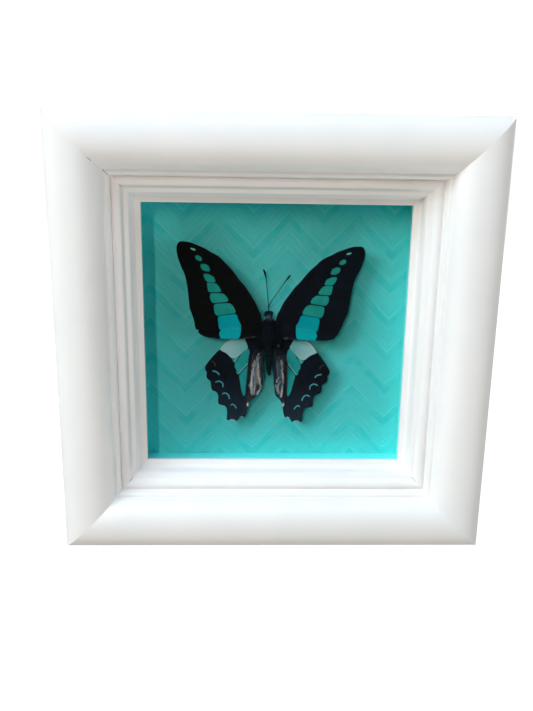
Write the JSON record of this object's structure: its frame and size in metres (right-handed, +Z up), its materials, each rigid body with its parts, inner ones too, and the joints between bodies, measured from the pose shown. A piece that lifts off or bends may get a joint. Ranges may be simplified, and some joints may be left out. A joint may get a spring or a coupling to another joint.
{
  "type": "framed butterfly specimen",
  "caption": "Spread black and turquoise butterfly in a deep square white-painted wood frame, glazed, on a tonal zigzag card, with a sawtooth hanger behind.",
  "frame": {"origin": "middle of the bottom of the object's box, on the surface it stands on", "axes": "+X to the right as the glass is looked at, +Y from the front to the back, +Z up"},
  "size_m": [0.165, 0.0418, 0.165],
  "materials": {
    "white_paint": "satin",
    "clear_glass": "gloss",
    "turquoise_paper": "matte",
    "brown_board": "matte",
    "bare_steel": "satin",
    "brass_plate": "satin",
    "wing_scales": "matte",
    "body_hair": "matte",
    "pale_foam": "matte"
  },
  "bodies": {
    "root": {"rail_bottom": "white_paint", "rail_left": "white_paint", "rail_top": "white_paint", "rail_right": "white_paint", "glass": "clear_glass", "patterned_card": "turquoise_paper", "spacer_bottom": "turquoise_paper", "spacer_top": "turquoise_paper", "spacer_left": "turquoise_paper", "spacer_right": "turquoise_paper", "back_board": "brown_board", "tab_bottom": "bare_steel", "tab_left": "bare_steel", "tab_top": "bare_steel", "tab_right": "bare_steel", "sawtooth_hanger": "brass_plate", "hanger_nail_left": "bare_steel", "hanger_nail_right": "bare_steel", "mounting_pad": "pale_foam", "butterfly_body": "body_hair", "antenna_left": "body_hair", "antenna_right": "body_hair", "forewing_left": "wing_scales", "forewing_right": "wing_scales", "hindwing_left": "wing_scales", "hindwing_right": "wing_scales"}
  },
  "joints": []
}
